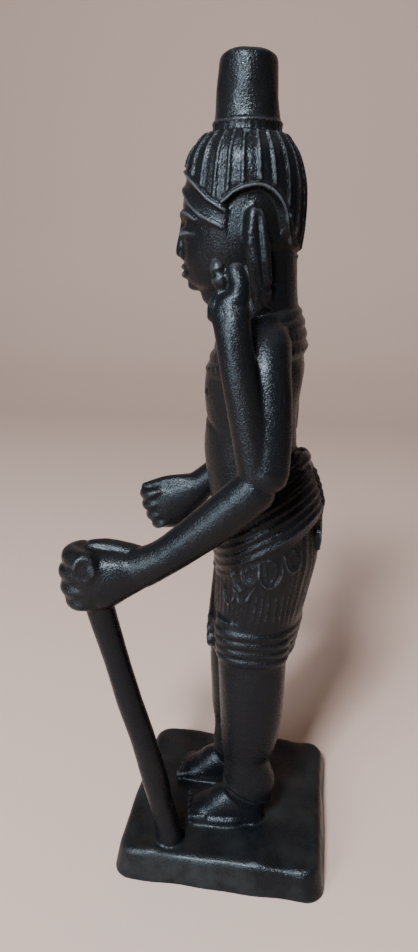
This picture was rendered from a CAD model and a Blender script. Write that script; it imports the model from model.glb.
import math

import bmesh
import bpy
import numpy as np
from mathutils import Matrix, Vector


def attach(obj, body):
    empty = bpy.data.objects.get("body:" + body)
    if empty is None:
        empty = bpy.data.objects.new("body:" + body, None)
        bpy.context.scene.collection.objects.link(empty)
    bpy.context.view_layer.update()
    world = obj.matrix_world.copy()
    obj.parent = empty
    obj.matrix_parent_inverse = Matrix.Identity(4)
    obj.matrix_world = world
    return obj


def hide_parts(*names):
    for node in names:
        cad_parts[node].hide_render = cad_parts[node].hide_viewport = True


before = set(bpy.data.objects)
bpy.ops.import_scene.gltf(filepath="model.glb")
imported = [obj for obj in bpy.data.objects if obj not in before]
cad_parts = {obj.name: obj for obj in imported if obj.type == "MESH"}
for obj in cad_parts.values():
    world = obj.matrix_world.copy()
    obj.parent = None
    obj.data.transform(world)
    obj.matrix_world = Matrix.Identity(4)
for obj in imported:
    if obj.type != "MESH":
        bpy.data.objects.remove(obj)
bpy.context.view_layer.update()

# The slab the figure is cast with: a thick square tile with soft corners, a little wider at its foot.
# The figure is one bronze casting, so every form is joined to `wax`, in millimetres from the figure's
# own middle, and what is cut into its surface is added when it is poured.
wax = bmesh.new()


def add_to_wax(form):
    """Joins a finished form, with its faces pointing out, to the rest of the wax."""
    bmesh.ops.recalc_face_normals(form, faces=form.faces)
    mould = bpy.data.meshes.new("mould")
    form.to_mesh(mould)
    form.free()
    wax.from_mesh(mould)
    bpy.data.meshes.remove(mould)


SLAB_WIDE, SLAB_DEEP, SLAB_HIGH = 55.0, 56.0, 8.5
SLAB_CORNER, SLAB_FLARE = 5.0, 1.6
TOP_EDGE, FOOT_EDGE = 1.7, 0.5
OFF_X, OFF_Y = 1.0, 0.8  # from the slab's middle to the figure's

slab = bmesh.new()
bmesh.ops.create_cube(slab, size=1)
bmesh.ops.scale(slab, verts=slab.verts, vec=(SLAB_WIDE, SLAB_DEEP, SLAB_HIGH))
bmesh.ops.translate(slab, verts=slab.verts, vec=(-OFF_X, -OFF_Y, SLAB_HIGH / 2))
upright = [e for e in slab.edges if abs(e.verts[0].co.z - e.verts[1].co.z) > 1]
bmesh.ops.bevel(slab, geom=upright, offset=SLAB_CORNER, segments=6, profile=0.5, affect="EDGES",
                material=-1)
for rim_z, soft in ((SLAB_HIGH, TOP_EDGE), (0.0, FOOT_EDGE)):
    rim = [e for e in slab.edges if all(abs(v.co.z - rim_z) < 0.01 for v in e.verts)]
    bmesh.ops.bevel(slab, geom=rim, offset=soft, segments=4, profile=0.5, affect="EDGES", material=-1)
for v in slab.verts:
    inset = 1 - SLAB_FLARE / (SLAB_DEEP / 2) * v.co.z / SLAB_HIGH
    v.co.x = (v.co.x + OFF_X) * inset - OFF_X
    v.co.y = (v.co.y + OFF_Y) * inset - OFF_Y
add_to_wax(slab)


def rise(value, low, high):
    """Nothing up to `low`, growing to one at `high`."""
    return np.clip((value - low) / (high - low), 0, 1)


def fall(value, low, high):
    """One up to `low`, dying away to nothing at `high`."""
    return np.clip((high - value) / (high - low), 0, 1)


def swell(off, width, power=2):
    """One on a line or a point, dying away at about `width` from it."""
    return np.exp(-((off / width) ** power))


def slab_carving(x, y, z):
    """Hand-worked lumps on the tile's top and a wavering edge."""
    on_top = rise(z, SLAB_HIGH - 2, SLAB_HIGH) * fall(z, SLAB_HIGH + 1, SLAB_HIGH + 3.5)
    lumps = (np.sin(x / 3.1 + 1.3 * np.sin(y / 5.3)) * np.sin(y / 3.7 + 0.8 + np.sin(x / 6.1))
             + 0.6 * np.sin(x / 1.9 + 2.0 + y / 4.1) * np.sin(y / 2.1 - x / 5.0))
    waver = np.sin(y / 4.3 + 0.5) + 0.7 * np.sin(y / 2.2 + x / 7) + 0.8 * np.sin(x / 4.7 + 1)
    return fall(z, SLAB_HIGH, SLAB_HIGH + 1.5) * (0.22 * on_top * lumps + 0.13 * waver)


# The legs stand side by side, the right one a little ahead, straight and plain with soft calves. They
# are built up on a rod, as the other forms are: a closed tube through stations of centre, half-width,
# half-depth and how far its front hangs. Legs, cloth, body and head are made of level stations.
CAP_INSETS = (0.12, 0.22, 0.3)
NEXT_TO = 0.01  # the share of a tube's length over which its direction is taken


def through(stations, share):
    """The smooth course through rows of numbers, at a share of its length."""
    place = min(max(share, 0.0), 1.0) * (len(stations) - 1)
    i = min(int(place), len(stations) - 2)
    f = place - i
    b, c = stations[i], stations[i + 1]
    a = stations[i - 1] if i > 0 else 2 * b - c
    d = stations[i + 2] if i + 2 < len(stations) else 2 * c - b
    return 0.5 * (2 * b + (c - a) * f + (2 * a - 5 * b + 4 * c - d) * f ** 2
                  + (3 * b - a - 3 * c + d) * f ** 3)


def tube(stations, sides=28, rings=24, level=False, square=2.0, start=0.0, end=0.0, side=(1, 0, 0)):
    """Builds a form up through its stations.

    `square` makes its section fuller, `start` and `end` round its ends off, and `side` is the way in
    which its half-width is measured.
    """
    rows = np.array([list(row) + [0.0] * (6 - len(row)) for row in stations], dtype=float)
    form = bmesh.new()
    bmesh.ops.create_cone(form, cap_ends=True, segments=sides, radius1=1, radius2=1, depth=1)
    lengths = [e for e in form.edges if abs(e.verts[0].co.z - e.verts[1].co.z) > 0.5]
    bmesh.ops.subdivide_edges(form, edges=lengths, cuts=rings - 1, use_grid_fill=True)
    for cap in [f for f in form.faces if len(f.verts) > 4]:
        for rim in CAP_INSETS:
            bmesh.ops.inset_region(form, faces=[cap], thickness=rim)
    turned = {}
    for v in form.verts:
        share = min(max(v.co.z + 0.5, 0.0), 1.0)
        key = round(share, 4)
        if key not in turned:
            row = through(rows, share)
            next_row = through(rows, min(share + NEXT_TO, 1.0))
            last_row = through(rows, max(share - NEXT_TO, 0.0))
            along = Vector((0, 0, 1)) if level else Vector(next_row[:3] - last_row[:3]).normalized()
            across = Vector(side)
            across = (across - along * along.dot(across)).normalized()
            turned[key] = (row, along, across, across.cross(along))
        row, along, across, ahead = turned[key]
        reach = math.hypot(v.co.x, v.co.y)
        angle = math.atan2(v.co.x, -v.co.y)
        s, c = math.sin(angle), math.cos(angle)
        full = (abs(s) ** square + abs(c) ** square) ** (-1 / square) if reach > 0.01 else 1.0
        dome = math.sqrt(max(0.0, 1 - min(reach, 1.0) ** 2))
        past = dome * end if share > 0.999 else (-dome * start if share < 0.001 else 0.0)
        place = Vector(row[:3]) + across * (s * reach * full * row[3]) + ahead * (c * reach * full * row[4])
        place += along * (past * min(row[3], row[4]))
        place.z -= reach * c * row[5]
        v.co = place
    add_to_wax(form)


def body_slice(z, front, back, half, x=0.0, hang=0.0):
    """A level station of the body, from where its front, back and side lie."""
    return (x, (front + back) / 2, z, half, (back - front) / 2, hang)


SUNK = 6.0  # how high in the slab the legs and the mace begin
LEG_APART = 7.8
AHEAD = {1: 0.0, -1: -5.0}  # how far each leg, left and right, steps ahead
LEG = [(SUNK, 0.2, 10, 3.7, 1), (13, -0.2, 10.3, 3.8, 1), (16, -0.9, 11.8, 4.4, 1),
       (19, -1.5, 12.7, 4.8, 1), (22, -1.3, 12.6, 4.7, 1), (25, -1.1, 11.6, 4.5, 1),
       (28.2, -1.1, 11, 4.5, 1), (33, -1.8, 12.6, 5.3, 1), (40, -2.1, 13.8, 6.2, 1),
       (49, -2.5, 14.2, 6.6, 1), (58, -3.2, 14.4, 6.5, 0.8), (66, -4.1, 15.0, 6.8, 0.3),
       (71, -3.8, 13.0, 6.6, 0.1)]  # the last number is how much of the step reaches that height

for left in (1, -1):
    tube([body_slice(z, front + AHEAD[left] * stepped, back + AHEAD[left] * stepped, half, left * LEG_APART)
          for z, front, back, half, stepped in LEG], sides=40, rings=60, level=True, square=2.25)


def leg_carving(x, y, z):
    """A soft shin edge down each leg and the fold of skin above the foot."""
    gain = np.zeros_like(x)
    for left in (1, -1):
        aside = x - left * LEG_APART
        near = swell(aside, 6.5, 4) * (z > 12) * (z < 60)
        shin = swell(aside - left * 0.6, 1.3) * (y < AHEAD[left] + 2.5)
        gain += 0.3 * near * shin * rise(z, 20, 28) * fall(z, 50, 58)
        fold = z - (19.6 - 0.43 * (y - AHEAD[left]))
        gain += near * (0.22 * swell(fold - 0.9, 0.7) - 0.42 * swell(fold, 0.55))
    return gain


# The feet are long soft wedges on a low sole, with five short toes squared off at the front. Their
# stations are measured from the leg's middle and from the slab's top.
SOLE = [(0.2, 8, 0.5, 3.2, 2.0), (0.2, 4.6, 0.5, 3.9, 2.1), (0.4, 1, 0.5, 5.3, 2.1),
        (0.4, -5, 0.5, 5.6, 2.1), (0.5, -9.2, 0.5, 5.5, 1.9)]
INSTEP = [(0, 6, 3, 3.7, 3.6), (0, 0, 4, 4.7, 5.2), (0, -5, 2.2, 4.9, 3.8), (0.3, -9.4, 1, 4.9, 2.3)]
TOE_ROOT, TOE_PITCH = -8.6, 2.2


def under_leg(left, rows):
    """Stations of a foot, set under its leg and on the slab."""
    return [(left * LEG_APART + left * aside, y + AHEAD[left], SLAB_HIGH + up, half, deep)
            for aside, y, up, half, deep in rows]


for left in (1, -1):
    tube(under_leg(left, SOLE), sides=36, rings=26, square=3.6, start=0.4, end=0.2)
    tube(under_leg(left, INSTEP), sides=30, rings=16, start=0.6, end=0.3)
    for toe in range(5):
        big = 1.0 if toe == 0 else 0.84 - 0.03 * toe
        x = left * LEG_APART + left * 0.4 + left * (toe - 2) * TOE_PITCH
        tip = TOE_ROOT - 2.3 - (4 - toe) * 0.32 + AHEAD[left]
        tube([(x, TOE_ROOT + 3 + AHEAD[left], 10.4, 1.05, 1.2),
              (x, TOE_ROOT + AHEAD[left], 10.2, 1.1 * big, 1.25 * big),
              (x, tip + 0.9, 9.6, 1.15 * big, 1.2 * big)], sides=14, rings=10, end=0.8)

# The garment is a short wrapped cloth, tight to the thighs, cast with the figure. It has narrow pleats
# and a hem bound in four round ridges, and in front it goes round the right thigh, which is ahead.
SKIRT = [(59.3, -5.4, 15.9, 13.95), (64, -5.8, 16.8, 14.4), (67.5, -5.75, 17.5, 14.65),
         (70.5, -5.35, 18.0, 14.8), (77, -5.1, 19.3, 15.5), (87, -5.0, 21.0, 16.4), (97, -5.8, 20.0, 16.2)]
OVER_RIGHT_THIGH = [(59.3, -7.35, 4, 7.1), (64, -6.9, 4, 7.3), (69, -6.3, 4, 7.3), (74, -5.4, 4, 6.9),
                    (80, -4.3, 4, 6.0), (85, -3.2, 4, 5.0)]
HEM_LOW, HEM_HIGH, HEM_RIDGES, HEM_STANDS = 58.9, 68.9, 4, 0.52
PLEATS, PLEAT_STANDS, PLEAT_GROUND = 46, 0.4, 0.14
BELT_FOOT, BELT_LEAN = 88.2, 7.8  # the belt's lower edge at the sides, and its drop in front
PANEL_WIDTH = [(58, 4), (61.4, 7), (67, 4.4), (74, 3.1), (93, 2.6)]

tube([body_slice(*row) for row in SKIRT], sides=64, rings=48, level=True, square=2.1)
tube([body_slice(*row, -LEG_APART) for row in OVER_RIGHT_THIGH], sides=40, rings=30, level=True,
     square=2.2)


def beyond(rows, x, y, z):
    """How far a point stands out from a form made of level slices, and its angle from the front."""
    rows = np.array(rows)
    front, back, half = (np.interp(z, rows[:, 0], rows[:, i]) for i in (1, 2, 3))
    middle, deep = (front + back) / 2, (back - front) / 2
    angle = np.arctan2(x / half, -(y - middle) / deep)
    out = np.hypot(x / half, (y - middle) / deep)
    return (out - 1) * (half + deep) / 2, angle


def on_surface(out, reach):
    """One on a form's surface and nothing well off it, so that its carving stays its own."""
    return swell(out, reach, 6)


def read_off(table, at):
    """What a table of places and sizes gives at a place."""
    return np.interp(at, *zip(*table))


def garment_carving(x, y, z):
    """The hem's ridges, and pleats that fade behind the loops and stop beside the front panel."""
    out, angle = beyond(SKIRT, x, y, z)
    over_thigh = beyond(OVER_RIGHT_THIGH, x + LEG_APART, y, z)[0]
    on = np.maximum(on_surface(out, 2.2), on_surface(over_thigh, 2.2) * fall(y, -2.5, -1) * (z < 84))
    in_hem = rise(z, HEM_LOW - 0.4, HEM_LOW + 0.2) * fall(z, HEM_HIGH - 0.3, HEM_HIGH + 0.3)
    part = (z - HEM_LOW) / (HEM_HIGH - HEM_LOW) * HEM_RIDGES
    gain = on * in_hem * (HEM_STANDS * np.abs(np.sin(np.pi * part)) ** 0.8 - 0.06)
    pleated = rise(z, 69.6, 73.5) * rise(BELT_FOOT - BELT_LEAN * np.cos(angle) - z, -0.5, 1)
    behind_loops = rise(np.abs(angle), 0.7, 1.0) * fall(np.abs(angle), 2.15, 2.4) * rise(z, 79, 81.5)
    pleated *= 1 - 0.85 * behind_loops
    uneven = angle + 0.03 * np.sin(5 * angle + z / 9) + 0.02 * np.sin(11 * angle + 1)
    fold = np.abs(np.cos(PLEATS * uneven / 2)) ** 4
    strength = 0.75 + 0.25 * np.sin(3 * angle + 2)
    gain += on * pleated * (PLEAT_STANDS * fold * strength - PLEAT_GROUND)
    beside_panel = rise(np.abs(x) - read_off(PANEL_WIDTH, z), -0.7, 0.3)
    return gain * np.where(y < -2, beside_panel, 1)


# The belt is a scarf wound round the hips in ridges that rise to the back, cast with the figure. A
# ridge is its height at the side, how far it stands out and its half-width.
BELT = [(88.2, -4.4, 20.3, 15.7, 0, 8), (90.5, -5.2, 21.7, 16.9, 0, 8), (93.5, -5.7, 21.5, 16.9, 0, 7.4),
        (99, -6.6, 19.6, 16.4, 0, 7.6), (103.7, -8.0, 16.2, 14.7, 0, 8.4)]
BELT_RIDGES = [(89.4, 0.4, 0.75), (91.7, 0.34, 0.6), (93.7, 0.32, 0.55), (95.7, 0.38, 0.6),
               (97.6, 0.32, 0.55), (99.5, 0.38, 0.6), (101.4, 0.32, 0.55), (103.6, 0.45, 0.75)]
BELT_MIDDLE = 96.5
HIPS = [(70, -5.4, 18.0, 14.9), (82, -5.4, 21.2, 16.6), (95, -6.2, 21.0, 16.7), (104, -7.8, 18.6, 15.5),
        (112, -8.2, 15.9, 14.0)]
tube([body_slice(*row) for row in BELT], sides=64, rings=30, level=True, square=2.05)


def belt_carving(x, y, z):
    """Ridges that wander a little and spread apart towards one hip."""
    out, angle = beyond(HIPS, x, y, z)
    height = z + BELT_LEAN * np.cos(angle)
    wander = 0.5 * np.sin(3 * angle + 0.7) + 0.35 * np.sin(5 * angle)
    gain = np.zeros_like(x)
    for place, high, thick in BELT_RIDGES:
        spread = (place - BELT_MIDDLE) * 0.16 * np.sin(angle + 0.4)
        gain += high * swell(height - place - 0.3 * wander - spread, thick)
    band = rise(height, 87.8, 88.8) * fall(height, 104.4, 105.6)
    return on_surface(out, 2.6) * band * (gain - 0.1)


# Under the belt three large loops of the scarf hang at each hip, each with a petal in it, and knotted
# ends fall in points ahead of them. A loop is its angle, the height of its middle, its half-width and
# its drop; an end is a line of angles and heights.
ROUND_HIPS = 15.8
LOOPS = [(hip * math.radians(turn), low, half, drop) for hip in (1, -1)
         for turn, low, half, drop in ((100, 87.0, 3.3, 4.6), (124, 89.6, 2.6, 3.5), (78, 86.0, 2.4, 3.4))]
RIM_STANDS, PETAL_STANDS, END_STANDS = 0.44, 0.36, 0.4
RIM_THICK, PETAL_THICK, END_THICK = 0.45, 0.38, 0.5
ENDS = [[(61, 80.7), (66, 78.4), (72, 77.0), (79, 79.2), (87, 83.4)],
        [(57, 85.0), (63, 81.4), (70, 80.6), (77, 83.0)],
        [(44, 80.0), (49, 76.6), (55, 75.6), (61, 77.8)]]


def off_course(a, b, course):
    """How far points lie from a line drawn through the corners of a course."""
    off = np.full_like(a, 99.0)
    for (a0, b0), (a1, b1) in zip(course, course[1:]):
        long = (a1 - a0) ** 2 + (b1 - b0) ** 2
        along = np.clip(((a - a0) * (a1 - a0) + (b - b0) * (b1 - b0)) / long, 0, 1)
        off = np.minimum(off, np.hypot(a - a0 - along * (a1 - a0), b - b0 - along * (b1 - b0)))
    return off


def fringe_carving(x, y, z):
    """The loops' rims, the petals' edges in a lowered ground, and the ends' raised lines."""
    out, angle = beyond(SKIRT, x, y, z)
    gain = np.zeros_like(x)
    for turn, low, half, drop in LOOPS:
        near = (np.abs(angle - turn) < 0.5) & (np.abs(z - low) < 10)
        aside, up = (angle[near] - turn) * ROUND_HIPS, z[near] - low
        ring = np.hypot(aside / half, np.where(up < 0, up / drop, up / (drop * 4)))
        rim = RIM_STANDS * swell((ring - 1) * half, RIM_THICK) * fall(z[near], low + 0.6, low + 2.2)
        petal = np.hypot(aside / (half * 0.5), (up + 0.3) / (drop * 0.62))
        leaf = PETAL_STANDS * swell((petal - 1) * half * 0.5, PETAL_THICK)
        gain[near] += rim + (ring < 0.9) * (leaf - 0.1 - 0.25 * fall(petal, 0.6, 0.9))
    for hip in (1, -1):
        for end in ENDS:
            course = [(hip * math.radians(turn) * ROUND_HIPS, up) for turn, up in end]
            line = off_course(angle * ROUND_HIPS, z, course)
            gain = np.maximum(gain, END_STANDS * swell(line, END_THICK))
    return on_surface(out, 2.2) * (np.abs(angle) > 0.27) * (np.abs(angle) < 2.85) * gain


# The cloth's free end falls in front as a narrow panel of soft folds that spreads like a fish's tail.
# The belt's end falls behind from a roll, as a thick strip with stepped edges laid on the cloth.
PANEL_FRONT = [(58, -7.1), (60.2, -7.5), (63.9, -7.3), (71.4, -6.5), (78.7, -5.8), (92, -4.9)]
PANEL_MIDDLE = [(0, 58, 0.9, 1.0), (0, 60.5, 2.0, 1.3), (0, 64, 2.8, 1.4), (0, 70, 3.0, 1.3),
                (0, 80, 2.9, 1.2), (0, 92, 2.6, 1.1)]
PANEL_FIN = [(6.2, 61.2, 1.2, 1.0), (5.0, 63.5, 2.1, 1.2), (3.4, 67, 2.3, 1.2), (1.8, 72, 1.8, 1.1),
             (1.0, 77, 1.4, 1.0)]
for side, rows in ((0, PANEL_MIDDLE), (1, PANEL_FIN), (-1, PANEL_FIN)):
    tube([(side * x, float(read_off(PANEL_FRONT, z)) + 0.13 * x + deep, z, half, deep)
          for x, z, half, deep in rows], sides=30, rings=34, level=True, square=2.5, start=0.9)

TAIL_TOP, TAIL_STEP, TAIL_STEPS = 111, 6, 4
TAIL_THICK, TAIL_SUNK = 2.3, 1.7
TAIL_SEAT = [(67, 16.9), (77, 19.3), (87, 21.0), (97, 20.8), (104, 19.6), (113, 16.0)]
TAIL_EDGE = []
for step in range(TAIL_STEPS):
    half = 3 + 0.6 * step
    TAIL_EDGE += [(half + 0.9, TAIL_TOP - TAIL_STEP * step), (half, TAIL_TOP - TAIL_STEP * (step + 0.8))]
tail = bmesh.new()
corners = [tail.verts.new((half, 0, z)) for half, z in TAIL_EDGE]
corners += [tail.verts.new((-half, 0, z)) for half, z in reversed(TAIL_EDGE)]
grown = bmesh.ops.extrude_face_region(tail, geom=[tail.faces.new(corners)])
moved = [g for g in grown["geom"] if isinstance(g, bmesh.types.BMVert)]
bmesh.ops.translate(tail, verts=moved, vec=(0, TAIL_THICK, 0))
bmesh.ops.triangulate(tail, faces=tail.faces)
for _ in range(2):
    bmesh.ops.subdivide_edges(tail, edges=[e for e in tail.edges if e.calc_length() > 3], cuts=1)
for v in tail.verts:
    v.co.y += float(read_off(TAIL_SEAT, v.co.z)) - TAIL_SUNK
add_to_wax(tail)
tube([(-6.6, 15.0, 109.6, 1.5, 1.6), (-3.5, 15.7, 110.6, 1.9, 1.9), (0, 15.9, 110.9, 2.0, 2.0),
      (3.5, 15.7, 110.6, 1.9, 1.9), (6.6, 15.0, 109.6, 1.5, 1.6)],
     sides=20, rings=12, start=0.9, end=0.9, side=(0, 1, 0))


def panel_carving(x, y, z):
    """Lengthwise folds in the front panel and the tail behind."""
    front = fall(y, -5.8, -5.0) * rise(z, 58, 60) * fall(z, 88, 92)
    across = np.abs(x) / read_off(PANEL_WIDTH, z)
    gain = front * fall(across, 0.5, 0.9) * (0.2 * np.abs(np.cos(2.5 * np.pi * across)) - 0.08)
    behind = rise(y - read_off(TAIL_SEAT, z), -0.6, 0.3) * rise(z, 88.5, 90) * fall(z, 107, 109)
    return gain + behind * fall(np.abs(x), 2.6, 3.6) * 0.28 * np.cos(x * 2 * np.pi / 2.1)


# The trunk is slim, bare and upright, with a swelling chest and a groove down the back, and a broad
# neck stands on it, partly under the ears' lobes.
TORSO = [(94, -5.5, 16.5, 13.4), (104, -7, 14.8, 13.0), (112, -8.2, 14.6, 13.1), (119, -7.9, 14.3, 13.7),
         (126, -7.6, 14.8, 15.4), (133, -7.4, 15.5, 17.0), (139, -5.2, 14.4, 16.4), (144, -3, 12.8, 10)]
NECK = [(140, -4.4, 14.2, 12.4), (144, -4.4, 14.0, 11.8), (148, -4.2, 13.3, 11.0), (153, -4.8, 12.9, 10.4),
        (158, -5.2, 12.7, 9.9)]
tube([body_slice(*row) for row in TORSO], sides=56, rings=50, level=True, square=2.15, end=0.2)
tube([body_slice(*row) for row in NECK], sides=44, rings=16, level=True)


def trunk_carving(x, y, z):
    """Groove and shoulder blades behind; middle line, navel, the chest's swellings and its lower edge."""
    out = beyond(TORSO, x, y, z)[0]
    on = on_surface(out, 2.4) * rise(z, 106, 110) * fall(z, 133, 136)
    behind = rise(y, 9, 11)
    gain = -0.8 * behind * swell(x, 1.5) * rise(z, 108, 113)
    gain += 0.5 * behind * swell(np.hypot((np.abs(x) - 7.4) / 3.6, (z - 129.5) / 5.2), 1)
    front = fall(y, -4, -2)
    gain += front * (-0.45 * swell(x, 1.2) * rise(z, 112, 118) * fall(z, 128, 133)
                     - 0.9 * swell(np.hypot(x, (z - 112.4) * 1.3), 1.0)
                     - 0.35 * swell(z - 121.4 + 0.02 * x ** 2, 1.0) * fall(np.abs(x), 9, 12))
    for left in (1, -1):
        gain += 0.7 * front * swell(x - left * 7.6, 4.6) * swell(z - 127.6, 4.0)
        reach = np.hypot(x - left * 7.8, z - 127.4)
        gain += front * (0.2 * swell(reach, 0.7) - 0.2 * swell(reach - 1.4, 0.5))
    return on * gain


# The collar lies on the shoulders in four stepped ridges with a toothed outer edge, all of it cast
# with the figure. It hangs lower in front.
COLLAR = [(132.4, -6.4, 14.8, 16.6, 0, 3), (134.5, -7.5, 15.8, 17.9, 0, 3),
          (140.5, -5.6, 15.1, 16.4, 0, 2.4), (144.8, -4.8, 14.1, 11.4, 0, 1.4)]
YOKE = [(131, -7.8, 15.8, 18.2), (134.5, -7.6, 15.8, 17.9), (140.5, -5.6, 15.1, 16.4),
        (144.8, -4.8, 14.1, 11.4), (147, -4.4, 13.4, 9.6)]
COLLAR_LOW, COLLAR_TALL, COLLAR_RIDGES = 134.2, 10.8, 4
COLLAR_LEAN, COLLAR_STANDS, TEETH = 2.6, 0.42, 20
tube([body_slice(*row) for row in COLLAR], sides=64, rings=20, level=True, square=2.1)


def collar_carving(x, y, z):
    """The ridges, faint beads along the second one and the teeth along the outer edge."""
    out, angle = beyond(YOKE, x, y, z)
    on = on_surface(out, 2.6) * (np.abs(x) < 17.6)
    height = z + COLLAR_LEAN * np.cos(angle)
    part = (height - COLLAR_LOW) / COLLAR_TALL * COLLAR_RIDGES
    ridge = COLLAR_STANDS * np.sin(np.pi * (part - np.floor(part))) ** 0.8
    beads = 0.05 * np.sin(angle * 2 * TEETH) * (np.floor(part) == 1)
    teeth = 0.22 * np.abs(np.sin(angle * TEETH)) ** 1.5 * swell(height - 135.0, 0.7)
    inside = rise(height, 134, 134.6) * fall(height, 144.6, 145.2)
    return on * inside * (ridge - 0.2 + beads) + on * teeth


# Each side has one strong upper arm and two forearms from its elbow: one raised beside the head and
# one held forward and down, the right one a little higher. They are smooth and without bracelets.
UPPER_ARM = [(9.5, 6.5, 140.8, 3.6, 4.6), (15.0, 7.4, 139.2, 5.0, 5.4), (19.2, 8.0, 134.4, 5.0, 5.2),
             (22, 8.7, 127.5, 4.4, 5.1), (23.8, 9.1, 119.5, 4.2, 4.95), (24.8, 8.9, 113, 4.3, 4.9)]
RAISED_FOREARM = [(24.8, 7.1, 112, 4, 4.2), (25, 5.3, 122, 3.8, 4.05), (25, 2.8, 134, 3.6, 3.85),
                  (24.5, 1.4, 142, 3.4, 3.8), (23.6, 0.6, 146.6, 2.9, 4.2)]
LIFT = {1: 0.0, -1: 2.0}  # how much higher each lower forearm, left and right, ends


def on_side(left, stations):
    """Stations as they are for the left side, and mirrored for the right one."""
    return [(left * row[0], *row[1:]) for row in stations]


def held_forearm(lift):
    """The lower forearm from the elbow to the wrist, its end lifted by so much."""
    return [(24.8, 6.6, 109.6, 4.4, 5), (25.2, -0.5, 103 + lift * 0.6, 4.3, 4.95),
            (25.3, -8.4, 96.4 + lift, 4.1, 4.5), (25.2, -14, 92.2 + lift, 4.1, 4.3),
            (25, -19.5, 89.2 + lift, 4.3, 4.7), (25.1, -24, 87.6 + lift, 3.4, 3.6)]


for left in (1, -1):
    tube(on_side(left, UPPER_ARM), sides=36, rings=50, start=0.7, end=1.0)
    tube(on_side(left, RAISED_FOREARM), sides=36, rings=44)
    tube(on_side(left, held_forearm(LIFT[left])), sides=36, rings=44, start=0.9)

# The raised hands: a slim palm with the fingers bent together at its top, and the thumb in front of
# them, which props a small bud in two parts.
PALM = [(23.6, 0.5, 145.6, 2.9, 4.3), (23.4, 0.9, 147.6, 2.6, 3.6), (23.2, 2.0, 149.6, 2.3, 2.55),
        (22.9, 2.2, 152.0, 2.05, 2.0), (22.5, 1.4, 154.0, 1.9, 2.0), (22.1, 1.0, 155.1, 1.7, 1.85)]
BALL_OF_THUMB = [(23.3, -2.3, 145.6, 1.9, 2.0), (23.2, -2.6, 147.6, 1.75, 1.65),
                 (23.0, -2.4, 149.0, 1.25, 1.15)]
THUMB = [(22.9, -2.2, 148.4, 1.0, 1.0), (22.7, -2.0, 150.0, 0.85, 0.85), (22.6, -1.6, 151.4, 1.0, 1.0)]
BUD = [(22.6, -1.35, 151.2, 1.1, 1.1), (22.5, -1.55, 152.3, 1.6, 1.75), (22.4, -1.85, 153.4, 1.6, 1.8),
       (22.4, -2.1, 154.2, 1.2, 1.35), (22.4, -2.35, 155.0, 1.45, 1.6), (22.4, -2.7, 155.9, 1.1, 1.25),
       (22.4, -3.0, 156.7, 0.5, 0.6)]

for left in (1, -1):
    tube(on_side(left, PALM), sides=30, rings=30, end=0.5)
    for finger in range(3):
        y, lower = 0.2 + finger * 1.2, 0.2 * finger
        tube(on_side(left, [(22.3, y + 0.5, 151.2, 1.0, 0.85), (21.8, y + 0.2, 153.6, 0.95, 0.8),
                            (21.2, y - 0.1, 154.4 - lower, 0.85, 0.75),
                            (20.8, y - 0.3, 153.9 - lower, 0.75, 0.65)]),
             sides=14, rings=14, start=0.6, end=0.9)
    tube(on_side(left, BALL_OF_THUMB), sides=24, rings=14, start=0.6, end=0.8)
    tube(on_side(left, THUMB), sides=20, rings=12, start=0.6)
    tube(on_side(left, BUD), sides=24, rings=44, start=0.7, end=0.7)


# The fists: a rounded back of the hand, four fingers curled round it one above the other and the thumb
# laid along the top. The left one closes on the mace and the right one is empty.
def fist(left, middle_y, middle_z, turn, palm_front, fingers, thumb):
    """A finger is its height, its thickness and how far back its front lies; a thumb is its course."""
    s, c = math.sin(turn), math.cos(turn)

    def spot(x, y, z, wide, deep=None):
        return (left * x, middle_y + y * c - z * s, middle_z + y * s + z * c, wide,
                wide if deep is None else deep)

    tube([spot(25, 13, 2.9, 3.7, 3.9), spot(25.2, 7, 1.4, 4.9, 6.1), spot(25.2, 2.5, 0.2, 5.4, 7.6),
          spot(24.9, -1.0, 0.1, 5.2, 7.6), spot(24.4, palm_front, 0.2, 3.9, 6.3)],
         sides=40, rings=34, square=2.3, end=0.3)
    tube([spot(26.0, 7.6, 2.2, 2.6), spot(27.6, 3.6, 3.1, 2.6), spot(28.6, 0.4, 3.9, 2.6),
          spot(28.2, -1.0, 3.9, 2.2)], sides=24, rings=20, start=0.9, end=0.9)
    tube([spot(28.4, 1.2, -3.6, 1.9), spot(28.3, -0.6, -3.4, 1.9)], sides=20, rings=8, start=0.9, end=0.9)
    for z, girth, set_back in fingers:
        tube([spot(26.2, 5.2, z * 0.86, 1.6), spot(28.3, 0.6, z * 0.96, girth - 0.1),
              spot(28.0, -3.5 + set_back, z, girth), spot(25.2, -5.4 + set_back, z, girth),
              spot(22.2, -4.4 + set_back, z, girth - 0.15), spot(21.2, -2.0, z * 0.97, girth - 0.4),
              spot(21.6, 0.8, z * 0.94, girth - 0.7)],
             sides=20, rings=36, side=(0, 0, 1), start=0.6, end=0.8)
    tube([(left * x, y, z, thick, thick * 0.85) for x, y, z, thick in thumb],
         sides=20, rings=18, start=0.4, end=0.8)


fist(1, middle_y=-31.0, middle_z=86.2, turn=0.0, palm_front=-5.2,
     fingers=[(5.3, 2.65, 1.4), (1.8, 2.15, 0.0), (-2.1, 2.05, 0.1), (-5.4, 1.75, 0.9)],
     thumb=[(24.2, -17, 91.4, 2.6), (23.9, -21, 92.6, 2.4), (23.7, -27, 93.6, 2.15),
            (24.3, -31.0, 93.7, 1.75)])
fist(-1, middle_y=-23.9, middle_z=88.0, turn=0.3, palm_front=-4.9,
     fingers=[(4.7, 2.0, 0.5), (1.4, 1.9, 0.0), (-1.9, 1.8, 0.1), (-4.9, 1.6, 0.7)],
     thumb=[(24.4, -13, 95.4, 2.6), (24.2, -17, 95.6, 2.3), (23.9, -23.5, 95, 2.05),
            (23.8, -30.2, 93, 1.55)])


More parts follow.
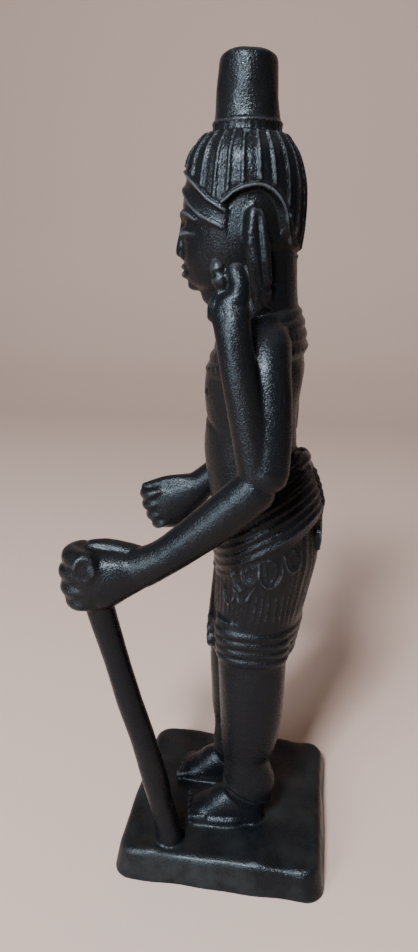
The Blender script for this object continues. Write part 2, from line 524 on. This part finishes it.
def fist_carving(x, y, z):
    """The left hand's foremost knuckle is a round boss with a raised rim."""
    ring = np.hypot((y + 30.6) / 2.1, (z - 90.4) / 2.8)
    return (x > 27) * (0.4 * swell(ring - 1, 0.3) - 0.1 * fall(ring, 0.6, 0.9))


# The mace is a plain round rod, slightly wavy from the modeller's fingers, from the left fist down to
# the slab, where it swells a little and is cast into it.
MACE = [(19, -13.8, SUNK, 3.9), (19.2, -14.4, 10, 3.55), (19.4, -15.1, 14, 3.25), (19.9, -16.5, 21, 3.05),
        (20.4, -17.6, 27.5, 3.3), (21.3, -20.3, 40, 3.1), (22.4, -23.4, 52.3, 3.1), (23.5, -25.9, 64, 3),
        (24.7, -29, 78, 3.3), (25, -30.6, 86, 3.3)]
tube([(x, y, z, thick, thick) for x, y, z, thick in MACE], sides=40, rings=120, square=2.2)

# The head is an upright oval with a full chin. Its face is calm, with lowered lids, a straight nose and
# closed, level lips, built up on the oval in small rolls of wax, and then hollowed and filled out.
SKULL = [(150.4, -9.8, 4, 6.0), (152, -12.2, 8.4, 8.1), (155.5, -13.2, 11.4, 10), (161, -13.4, 12.8, 11.6),
         (167, -13.6, 13.3, 12.1), (173, -12.9, 13.1, 11.9), (178, -11.6, 11.8, 11.0),
         (181, -9.5, 10.0, 9.3), (183, -7.2, 8.2, 7.6)]
CHIN = [(0, -10.4, 151.6, 2.9, 2.1), (0, -10.9, 152.6, 2.6, 1.9)]
EYELID = [(2.4, -12.3, 161.9, 0.7, 0.6), (3.8, -12.4, 162.5, 1.35, 1.2), (5.4, -12.0, 162.6, 1.5, 1.3),
          (7.2, -10.7, 162.3, 1.0, 0.9), (8.3, -9.8, 162.0, 0.45, 0.45)]
EYEBROW = [(1.2, -13.4, 165.0, 0.62, 0.6), (3.2, -13.3, 166.3, 0.66, 0.66), (5.8, -12.5, 166.9, 0.62, 0.66),
           (8.0, -11.1, 166.3, 0.5, 0.55), (9.9, -9.2, 164.9, 0.35, 0.4)]
NOSTRIL = [(1.75, -13.0, 157.7, 1.1, 1.2), (1.9, -13.2, 158.5, 1.05, 1.1)]
NOSE = [(0, -13.0, 167.0, 1.3, 0.9), (0, -13.3, 164.6, 1.1, 1.05), (0, -13.7, 161.6, 1.15, 1.2),
        (0, -14.0, 159.4, 1.5, 1.4), (0, -14.0, 158.3, 1.6, 1.45)]
UPPER_LIP = [(-3.7, -11.6, 154.9, 0.3, 0.4), (-2.0, -12.7, 155.2, 0.62, 0.85),
             (-0.7, -13.2, 155.35, 0.75, 1.0), (0, -13.2, 155.2, 0.7, 1.0), (0.7, -13.2, 155.35, 0.75, 1.0),
             (2.0, -12.7, 155.2, 0.62, 0.85), (3.7, -11.6, 154.9, 0.3, 0.4)]
LOWER_LIP = [(-3.1, -11.9, 154.2, 0.3, 0.4), (-1.6, -12.8, 153.7, 0.8, 0.9), (0, -13.1, 153.6, 0.95, 1.05),
             (1.6, -12.8, 153.7, 0.8, 0.9), (3.1, -11.9, 154.2, 0.3, 0.4)]

tube([body_slice(*row) for row in SKULL], sides=64, rings=60, level=True, square=2.06, start=0.9)
tube(CHIN, sides=24, rings=8, start=0.8, end=0.8, level=True)
for left in (1, -1):
    tube(on_side(left, EYELID), sides=20, rings=20, side=(0, 0, 1), start=0.6, end=0.6)
    tube(on_side(left, EYEBROW), sides=14, rings=22, side=(0, 0, 1), start=0.6, end=0.6)
    tube(on_side(left, NOSTRIL), sides=16, rings=6, start=0.9, end=0.9, level=True)
tube(NOSE, sides=24, rings=24, end=0.75, start=0.6)
tube(UPPER_LIP, sides=16, rings=30, side=(0, 0, 1), start=0.5, end=0.5)
tube(LOWER_LIP, sides=16, rings=24, side=(0, 0, 1), start=0.5, end=0.5)

# Each is how far in or out, how far aside and how wide, how high up and how tall.
FACE_HOLLOWS = [(-0.55, 3.0, 1.7, 164.4, 1.1), (-0.35, 7.0, 2.2, 164.7, 1.0), (-0.45, 4.0, 0.7, 154.6, 0.8),
                (-0.3, 0, 2.0, 152.0, 0.7), (-0.25, 0, 0.6, 156.6, 0.8), (-0.4, 0.85, 0.45, 157.1, 0.4),
                (0.35, 6.6, 2.6, 157.6, 2.6), (0.25, 0, 2.6, 151.4, 1.2)]


def face_carving(x, y, z):
    """The sockets, corners of the mouth, nostrils, cheeks and chin, then the lids and the mouth's line."""
    a = np.abs(x)
    gain = sum(far * swell(a - aside, wide) * swell(z - up, tall)
               for far, aside, wide, up, tall in FACE_HOLLOWS)
    lid = z - (161.5 + 0.028 * (a - 5.2) ** 2)
    lines = -0.42 * swell(lid, 0.32) + 0.3 * swell(lid - 0.75, 0.4) + 0.14 * swell(lid + 0.65, 0.35)
    gain += swell(a - 5.3, 2.9, 6) * lines
    gain -= 0.5 * swell(a, 3.3, 4) * swell(z - 154.5 - 0.012 * a ** 2, 0.3)
    return fall(y, -8.5, -6.5) * rise(z, 149, 150.5) * fall(z, 168, 170) * (a < 12) * gain


# The hair is dressed in upright locks, round like cords and gathered to the topknot. A band edged by two
# raised cords slopes from the brow to the ear, and the hair's edge arches over the ear as a raised rim
# and ends in a straight cut at the nape.
LOCKS = 26
HAIR_THICK = 0.72
UPPER_STANDS, LOWER_STANDS, RIM_OF_ARCH, CORD_THICK = 1.1, 0.7, 1.2, 0.5
UPPER_CORD = [(-13.5, 176.6), (-12.2, 175.4), (-8.8, 171.8), (-6.1, 169.1), (-3.1, 167.2), (-1.2, 166.4)]
LOWER_CORD = [(-13.8, 173.4), (-12.9, 171.8), (-11.7, 170.0), (-10.4, 168.1), (-8.3, 166.1), (-4.9, 164.4),
              (-3.0, 163.6)]
ARCH_AHEAD = [(-3.1, 168.2), (-0.5, 170.3), (1.1, 171.1), (2.9, 171.6), (4.4, 171.8)]
ARCH_BEHIND = [(4.4, 171.8), (5.7, 171.6), (7.3, 170.8), (8.5, 169.5), (9.4, 167.9), (9.9, 166.3),
               (10.5, 163.3), (11.4, 160.2), (12.2, 157.0), (12.8, 154.0)]
ARCH_START, (ARCH_TOP_Y, ARCH_TOP_Z) = ARCH_AHEAD[0][0], ARCH_BEHIND[0]
NAPE = 157.3


def hair_carving(x, y, z):
    """Locks where the hair is, above the band and outside the arch; the cords, the rim and its hollow."""
    out, angle = beyond(SKULL, x, y, z)
    on = on_surface(out, 2.2) * (np.hypot(x, y) < 15.5) * rise(z, 150, 152) * fall(z, 181.8, 183)
    arch_course = ARCH_AHEAD + ARCH_BEHIND[1:]
    upper, lower, arch = (off_course(y, z, course) for course in (UPPER_CORD, LOWER_CORD, arch_course))
    above = np.sign(z - read_off(UPPER_CORD, y))
    over = np.sign(z - read_off(ARCH_AHEAD, y))
    past = np.sign(y - read_off([(-up, back) for back, up in ARCH_BEHIND], -z))
    outside = np.where(y < ARCH_TOP_Y, over, np.where(z > ARCH_TOP_Z, 1.0, past))
    outside = np.where(y < ARCH_START, 1.0, outside)
    hair = np.where(y < ARCH_START, rise(above * upper, 0.5, 0.9), rise(outside * arch, 0.5, 0.9))
    hair = hair * rise(z, NAPE - 0.4, NAPE + 0.3)
    uneven = angle + 0.02 * np.sin(4 * angle + 1) + 0.012 * np.sin(9 * angle)
    lock = np.abs(np.cos(LOCKS * uneven / 2))
    gain = hair * (HAIR_THICK - 0.12 * lock + 0.6 * lock ** 16)
    ahead_of_ear = fall(y, -3.0, -1.2)
    gain = np.maximum(gain, ahead_of_ear * UPPER_STANDS * swell(upper, CORD_THICK))
    gain = np.maximum(gain, ahead_of_ear * LOWER_STANDS * swell(lower, CORD_THICK))
    gain = np.maximum(gain, RIM_OF_ARCH * swell(arch, CORD_THICK) * rise(z, 158, 166) * (y > -3.4))
    hollow = rise(-outside * arch, 0.35, 1.0) * fall(arch, 1.0, 8.0) * rise(z, 160, 163)
    return on * (gain - 0.75 * hollow * (y > -2) * (np.abs(x) > 8))


# The ears are long loops of two rolls side by side, with small knobs on the front one, and their heavy
# lobes run into the neck.
EAR = [(12.3, 4.0, 166.0, 1.5, 2.2), (12.6, 4.35, 162, 1.5, 2.7), (12.6, 4.8, 158, 1.45, 2.8),
       (12.0, 5.35, 154, 1.4, 2.5), (11.2, 5.8, 150.5, 1.5, 2.2), (10.0, 6.1, 147, 1.8, 2.2)]
EAR_MIDDLE = [(146, 6.2), (150.5, 5.8), (154, 5.35), (158, 4.8), (162, 4.35), (166, 4.1)]
EAR_HALF = [(146, 2.0), (150.5, 2.35), (154, 2.6), (158, 2.8), (162, 2.75), (165.4, 2.3), (167.6, 1.2)]
KNOB_Y, KNOB_HEIGHTS = 3.2, (162.3, 160.3)
LOBE_FOLD = [(7.6, 151.4), (9.2, 151.3), (10.6, 152.2)]

for left in (1, -1):
    tube(on_side(left, EAR), sides=30, rings=50, start=1.1, end=0.8)


def ear_carving(x, y, z):
    """The groove between the two rolls, the rolls and the knobs."""
    aside = (y - read_off(EAR_MIDDLE, z)) / read_off(EAR_HALF, z)
    on = (np.abs(x) > 11.5) & (np.abs(aside) < 1.2) & (z > 148) & (z < 168.8)
    groove = -0.62 * swell(aside - 0.3, 0.19) * rise(z, 151.0, 154) * fall(z, 164.6, 166.2)
    rolls = 0.3 * swell(aside + 0.35, 0.4) + 0.12 * swell(aside - 0.8, 0.2)
    knobs = sum(0.26 * swell(np.hypot(y - KNOB_Y, z - up), 0.7) for up in KNOB_HEIGHTS)
    return on * (groove + rolls * rise(z, 150, 153) + knobs)


def lobe_carving(x, y, z):
    """Lumps left by the modeller where the lobe runs into the neck, and a fold behind it."""
    on = swell(y - 6.5, 4.5, 4) * rise(np.abs(x), 8, 9.5) * (np.abs(x) < 15)
    lumps = np.sin(y * 2.1 + z * 0.6) * np.sin(z * 1.7 - y * 0.7) * rise(z, 145, 147) * fall(z, 150, 153)
    return on * (0.14 * lumps - 0.3 * swell(off_course(y, z, LOBE_FOLD), 0.5))


# The topknot is a tall plain cylinder, narrower at the top, standing in a flared ring. It is turned
# about its own axis, which stands a little behind the figure's middle.
KNOT_Y, KNOT_TICKS = 0.65, 30
KNOT = [(180.4, 7.7), (181.6, 7.85), (182.4, 7.9), (183.3, 7.7), (184.3, 7.6), (185.0, 7.6), (185.6, 7.3),
        (187.5, 7.0), (190, 6.8), (194, 6.55), (197.2, 6.35), (198.2, 6.1), (198.8, 5.4), (199.0, 4.4)]
knot = bmesh.new()
edge = [knot.verts.new((0, 0, KNOT[0][0]))]
edge += [knot.verts.new((r, 0, z)) for z, r in KNOT] + [knot.verts.new((0, 0, KNOT[-1][0]))]
lines = [knot.edges.new(pair) for pair in zip(edge, edge[1:])]
bmesh.ops.spin(knot, geom=edge + lines, cent=(0, 0, 0), axis=(0, 0, 1), angle=2 * math.pi, steps=56,
               use_merge=True)
bmesh.ops.remove_doubles(knot, verts=knot.verts, dist=0.001)
bmesh.ops.translate(knot, verts=knot.verts, vec=(0, KNOT_Y, 0))
add_to_wax(knot)


def knot_carving(x, y, z):
    """Two raised rings at its foot with ticks between them, and faint dents on the cylinder."""
    reach = np.hypot(x, y - KNOT_Y)
    turn = np.arctan2(x, -(y - KNOT_Y))
    rings = 0.32 * swell(z - 182.3, 0.5) + 0.26 * swell(z - 185.1, 0.4)
    ticks = -0.16 * np.abs(np.cos(KNOT_TICKS * turn / 2)) ** 8 * rise(z, 182.6, 183) * fall(z, 184.4, 184.8)
    dents = 0.09 * np.sin(3 * turn + z / 3.0) * rise(z, 186, 188) + 0.06 * np.sin(5 * turn - z / 1.7)
    return ((reach < 10) & (z > 180)) * ((reach > 5.5) * (rings + ticks) + dents)


# Pouring and finishing. The joined wax is made one skin and smoothed, and the carving is cut into it
# along the surface; then it is thinned where it is plain and set on the frame at full size.
SKIN = 0.34  # the fineness of the one skin
UNEVEN = 0.035  # how far the whole surface wanders in and out
MOST_FACES = 190000
FLAT_UNDER = 0.12  # what lies lower than this is the flat underside
MILLIMETRE = 0.001

wax_mesh = bpy.data.meshes.new("wax")
wax.to_mesh(wax_mesh)
wax.free()
figure = bpy.data.objects.new("figure", wax_mesh)
bpy.context.scene.collection.objects.link(figure)


def apply_modifiers(obj):
    """Makes what the modifiers do the mesh itself."""
    view = bpy.context.evaluated_depsgraph_get()
    done = bpy.data.meshes.new_from_object(obj.evaluated_get(view))
    obj.modifiers.clear()
    old, obj.data = obj.data, done
    bpy.data.meshes.remove(old)


def soften(obj, name, factor, times):
    """Evens the skin out a little, so many times."""
    smooth = obj.modifiers.new(name, "SMOOTH")
    smooth.factor, smooth.iterations = factor, times


one_skin = figure.modifiers.new("one skin", "REMESH")
one_skin.mode = "VOXEL"
one_skin.voxel_size = SKIN
one_skin.adaptivity = 0.0
soften(figure, "soften", factor=0.5, times=4)
apply_modifiers(figure)

skin = figure.data
places, facing = (np.empty(len(skin.vertices) * 3) for _ in range(2))
skin.vertices.foreach_get("co", places)
skin.vertices.foreach_get("normal", facing)
places, facing = places.reshape(-1, 3), facing.reshape(-1, 3)
px, py, pz = places.T
relief = sum(carve(px, py, pz) for carve in (
    slab_carving, leg_carving, garment_carving, belt_carving, fringe_carving, panel_carving,
    trunk_carving, collar_carving, fist_carving, face_carving, hair_carving, ear_carving, lobe_carving,
    knot_carving))
relief += UNEVEN * np.sin(px * 1.1 + 2 * np.sin(pz / 4)) * np.sin(pz * 0.9 + py) * np.sin(py * 1.2 - pz / 3)
places = places + facing * relief[:, None]
places[:, 2] = np.maximum(places[:, 2], 0)
skin.vertices.foreach_set("co", places.ravel())
skin.update()

soften(figure, "settle", factor=0.45, times=2)
skin.calc_loop_triangles()
thin = figure.modifiers.new("thin", "DECIMATE")
thin.ratio = min(1.0, MOST_FACES / len(skin.loop_triangles))
thin.use_collapse_triangulate = True
apply_modifiers(figure)

cast = bmesh.new()
cast.from_mesh(figure.data)
for v in cast.verts:
    if v.co.z < FLAT_UNDER:
        v.co.z = 0
bmesh.ops.translate(cast, verts=cast.verts, vec=(OFF_X, OFF_Y, 0))
bmesh.ops.scale(cast, verts=cast.verts, vec=(MILLIMETRE, MILLIMETRE, MILLIMETRE))
bmesh.ops.dissolve_degenerate(cast, dist=1e-7, edges=cast.edges)
for f in cast.faces:
    f.smooth = True
cast.to_mesh(figure.data)
cast.free()

# Dark bronze with an old waxed patina: nearly black, a little greyer where hands rub the edges, with a
# fine grain and pits from the casting, dull in the hollows and dusty on the slab.
BLACK_PATINA, BROWN_PATINA = (0.003, 0.0031, 0.0037), (0.005, 0.0044, 0.0042)
RUBBED, DULL, SLAB_DUST = (0.038, 0.038, 0.040), (0.006, 0.006, 0.006), (0.013, 0.013, 0.012)
DUSTY_ROUGHNESS = (0.6, 0.6, 0.6)

bronze = bpy.data.materials.new("dark_bronze")
bronze.use_nodes = True
nodes, links = bronze.node_tree.nodes, bronze.node_tree.links
nodes.clear()
output = nodes.new("ShaderNodeOutputMaterial")
shade = nodes.new("ShaderNodeBsdfPrincipled")
links.new(shade.outputs["BSDF"], output.inputs["Surface"])
shade.inputs["Metallic"].default_value = 0.05
shade.inputs["Specular IOR Level"].default_value = 0.13
shade.inputs["Coat Weight"].default_value = 0.02
shade.inputs["Coat Roughness"].default_value = 0.15
where = nodes.new("ShaderNodeTexCoord")


def noise(scale, detail, rough=0.55):
    """Cloudy spots through the metal, so many to the metre."""
    node = nodes.new("ShaderNodeTexNoise")
    node.inputs["Scale"].default_value = scale
    node.inputs["Detail"].default_value = detail
    node.inputs["Roughness"].default_value = rough
    links.new(where.outputs["Object"], node.inputs["Vector"])
    return node.outputs["Fac"]


def steps(source, *stops):
    """Greys at places along a source."""
    node = nodes.new("ShaderNodeValToRGB")
    for stop, (place, grey) in zip(node.color_ramp.elements, stops):
        stop.position = place
        stop.color = (grey, grey, grey, 1)
    links.new(source, node.inputs["Fac"])
    return node.outputs["Color"]


def blend_colours(share, low, high):
    """One colour, or one node's output, turning into another by a share."""
    node = nodes.new("ShaderNodeMix")
    node.data_type = "RGBA"
    for name, value in (("Factor", share), ("A", low), ("B", high)):
        if isinstance(value, bpy.types.NodeSocket):
            links.new(value, node.inputs[name])
        else:
            node.inputs[name].default_value = (*value, 1)
    return node.outputs["Result"]


def roughen(source, strength, distance):
    """Fine unevenness of the surface, felt by the light alone."""
    node = nodes.new("ShaderNodeBump")
    node.inputs["Strength"].default_value = strength
    node.inputs["Distance"].default_value = distance
    links.new(source, node.inputs["Height"])
    return node


geometry = nodes.new("ShaderNodeNewGeometry")
wear = steps(geometry.outputs["Pointiness"], (0.522, 0.0), (0.56, 1.0))
hollow = steps(geometry.outputs["Pointiness"], (0.43, 1.0), (0.49, 0.0))
patches = steps(noise(90, 4), (0.35, 0.0), (0.7, 1.0))
body = blend_colours(patches, BLACK_PATINA, BROWN_PATINA)
worn = blend_colours(wear, body, RUBBED)
dulled = blend_colours(hollow, worn, DULL)
height = nodes.new("ShaderNodeSeparateXYZ")
links.new(where.outputs["Object"], height.inputs["Vector"])
on_slab = steps(height.outputs["Z"], (0.0075, 1.0), (0.0105, 0.0))
dust_spots = steps(noise(110, 6, 0.6), (0.4, 0.0), (0.75, 1.0))
slab_dust = blend_colours(on_slab, (0, 0, 0), dust_spots)
links.new(blend_colours(slab_dust, dulled, SLAB_DUST), shade.inputs["Base Color"])
gloss = steps(noise(1400, 3, 0.6), (0.3, 0.18), (0.7, 0.34))
links.new(blend_colours(slab_dust, gloss, DUSTY_ROUGHNESS), shade.inputs["Roughness"])
grain = roughen(noise(2900, 1.5, 0.5), strength=0.9, distance=0.00015)
pits = roughen(noise(600, 4, 0.6), strength=0.4, distance=0.0003)
links.new(grain.outputs["Normal"], pits.inputs["Normal"])
links.new(pits.outputs["Normal"], shade.inputs["Normal"])

figure.data.materials.clear()
figure.data.materials.append(bronze)
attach(figure, "root")
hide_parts("vishnu_figure")

# The plain pale floor it stands on, a sheet of matt board that sweeps up behind.
FLOOR_HALF = 1.6
SWEEP = [(1.2, 0.0), (-0.55, 0.0), (-0.7, 0.02), (-0.82, 0.09), (-0.9, 0.22), (-0.92, 0.5), (-0.92, 1.6)]
sweep = bmesh.new()
row = [sweep.verts.new((x, -FLOOR_HALF, z)) for x, z in SWEEP]
edges = [sweep.edges.new(pair) for pair in zip(row, row[1:])]
grown = bmesh.ops.extrude_edge_only(sweep, edges=edges)
moved = [g for g in grown["geom"] if isinstance(g, bmesh.types.BMVert)]
bmesh.ops.translate(sweep, verts=moved, vec=(0, 2 * FLOOR_HALF, 0))
bmesh.ops.recalc_face_normals(sweep, faces=sweep.faces)
for f in sweep.faces:
    f.smooth = True
floor_mesh = bpy.data.meshes.new("floor")
sweep.to_mesh(floor_mesh)
sweep.free()
floor = bpy.data.objects.new("floor", floor_mesh)
bpy.context.scene.collection.objects.link(floor)
floor_paint = bpy.data.materials.new("floor_paint")
floor_paint.use_nodes = True
floor_shade = floor_paint.node_tree.nodes["Principled BSDF"]
floor_shade.inputs["Base Color"].default_value = (0.42, 0.27, 0.205, 1)
floor_shade.inputs["Roughness"].default_value = 0.85
floor.data.materials.append(floor_paint)


# Soft cool daylight from the figure's left front, as from a window above, and a pale sky all round.
def lamp(name, place, target, size, power, colour):
    """A soft rectangle of light that faces its target."""
    data = bpy.data.lights.new(name, "AREA")
    data.shape = "RECTANGLE"
    data.size, data.size_y = size
    data.energy = power
    data.color = colour
    obj = bpy.data.objects.new(name, data)
    obj.location = place
    obj.rotation_euler = (Vector(target) - Vector(place)).to_track_quat("-Z", "Y").to_euler()
    bpy.context.scene.collection.objects.link(obj)


lamp("window", place=(0.68, -0.16, 0.74), target=(0, 0, 0.13), size=(0.17, 0.19), power=30.0,
     colour=(0.72, 0.86, 1.0))
lamp("window_low", place=(0.68, -0.38, 0.3), target=(0, 0, 0.13), size=(0.26, 0.5), power=12.5,
     colour=(0.64, 0.82, 1.0))
lamp("sky_left", place=(0.4, -0.9, 0.45), target=(0, 0, 0.1), size=(1.2, 1.0), power=1.2,
     colour=(0.82, 0.91, 1.0))
lamp("ceiling", place=(-0.1, 0.1, 1.1), target=(0, 0, 0), size=(1.0, 1.0), power=2.6,
     colour=(1.0, 0.96, 0.92))
world = bpy.data.worlds.new("room")
world.use_nodes = True
sky = world.node_tree.nodes["Background"]
sky.inputs["Color"].default_value = (1.0, 0.93, 0.88, 1)
sky.inputs["Strength"].default_value = 0.055
bpy.context.scene.world = world

# The photograph is taken close by, from the figure's left side and a little above, in an upright frame
# whose longer side the focal length is given for.
EYE = (0.1665, 0.0195, 0.1548)
AROUND, DOWN, LEAN = math.radians(98.92), math.radians(16.69), math.radians(0.40)
SENSOR, FOCAL_PIXELS, FRAME_HIGH = 36, 689, 952
back = Vector((math.sin(AROUND) * math.cos(DOWN), -math.cos(AROUND) * math.cos(DOWN), math.sin(DOWN)))
right = Vector((0, 0, 1)).cross(back).normalized()
up = back.cross(right)
right, up = right * math.cos(LEAN) + up * math.sin(LEAN), up * math.cos(LEAN) - right * math.sin(LEAN)
lens = bpy.data.cameras.new("camera")
lens.sensor_width = SENSOR
lens.lens = SENSOR * FOCAL_PIXELS / FRAME_HIGH
lens.clip_start = 0.005
camera = bpy.data.objects.new("camera", lens)
camera.matrix_world = Matrix(((right.x, up.x, back.x, EYE[0]), (right.y, up.y, back.y, EYE[1]),
                              (right.z, up.z, back.z, EYE[2]), (0, 0, 0, 1)))
bpy.context.scene.collection.objects.link(camera)
bpy.context.scene.camera = camera
